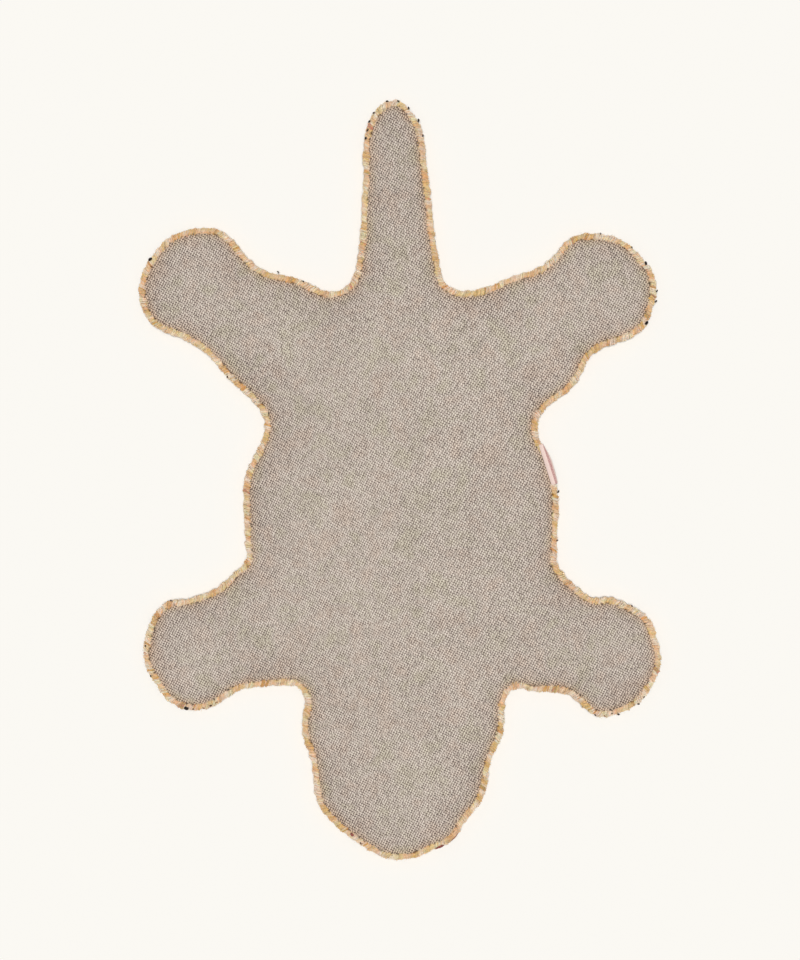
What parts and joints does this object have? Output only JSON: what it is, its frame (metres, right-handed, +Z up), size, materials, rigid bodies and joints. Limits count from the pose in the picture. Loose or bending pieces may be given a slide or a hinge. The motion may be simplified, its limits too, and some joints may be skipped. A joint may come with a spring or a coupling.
{
  "type": "animal shaped kids rug",
  "caption": "Flat hide-shaped rug for a child's room, lying pile side down, with woven backing up, an overcast wool edge and a small blank edge label.",
  "frame": {"origin": "on the floor, at the middle of the bottom of the rug's box", "axes": "+Z up from the pile to the backing, +Y towards the tail, -Y towards the head, +X towards the side with the label"},
  "size_m": [0.6016, 0.8753, 0.0149],
  "materials": {
    "wool_pile": "cut wool pile, matt",
    "woven_backing": "plain woven cotton and jute, matt",
    "overcast_wool": "overcast wool yarn, matt",
    "woven_label": "woven tape, slight sheen"
  },
  "bodies": {
    "root": {"pile": "wool_pile", "backing": "woven_backing", "edge_binding": "overcast_wool", "label": "woven_label"}
  },
  "joints": []
}
